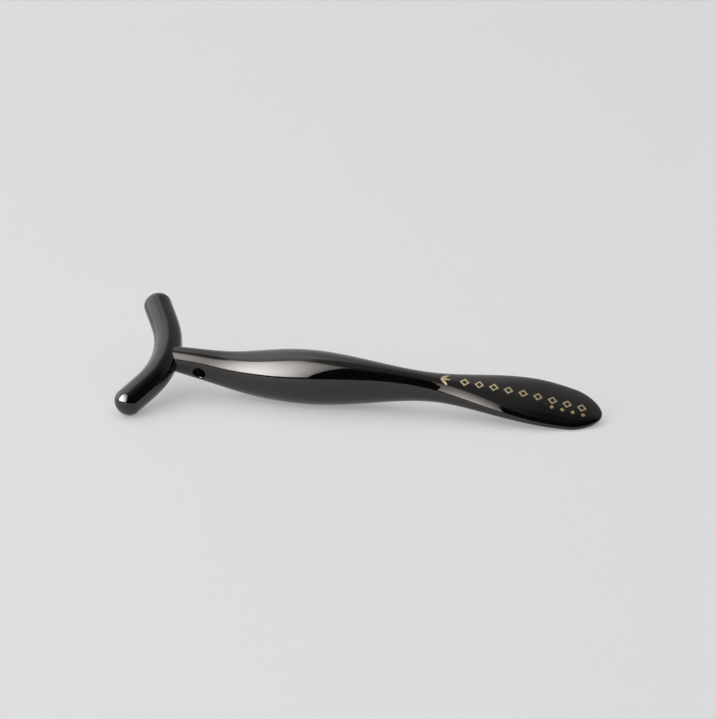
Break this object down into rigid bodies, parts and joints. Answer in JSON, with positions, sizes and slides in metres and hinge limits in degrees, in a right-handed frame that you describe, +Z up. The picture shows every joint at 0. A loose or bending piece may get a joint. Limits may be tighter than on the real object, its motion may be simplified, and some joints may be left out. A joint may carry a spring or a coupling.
{
  "type": "facial massage tool",
  "caption": "One-hand facial massage tool with a bowed round bar across the end of a sculpted handle with a flat paddle, lying on a table.",
  "frame": {"origin": "centre of the footprint's bounding box, on the table", "axes": "+Z up, +X along the handle from the bar towards the paddle, +Y towards the bar's raised end"},
  "size_m": [0.1768, 0.054, 0.0313],
  "materials": {
    "black_gloss_coat": "polished",
    "steel": "satin",
    "gold_print": "satin"
  },
  "bodies": {
    "root": {"handle": "black_gloss_coat", "head_bar": "black_gloss_coat", "head_stud": "steel", "gold_sprig": "gold_print", "gold_mark_row": "gold_print", "gold_small_row": "gold_print"}
  },
  "joints": []
}
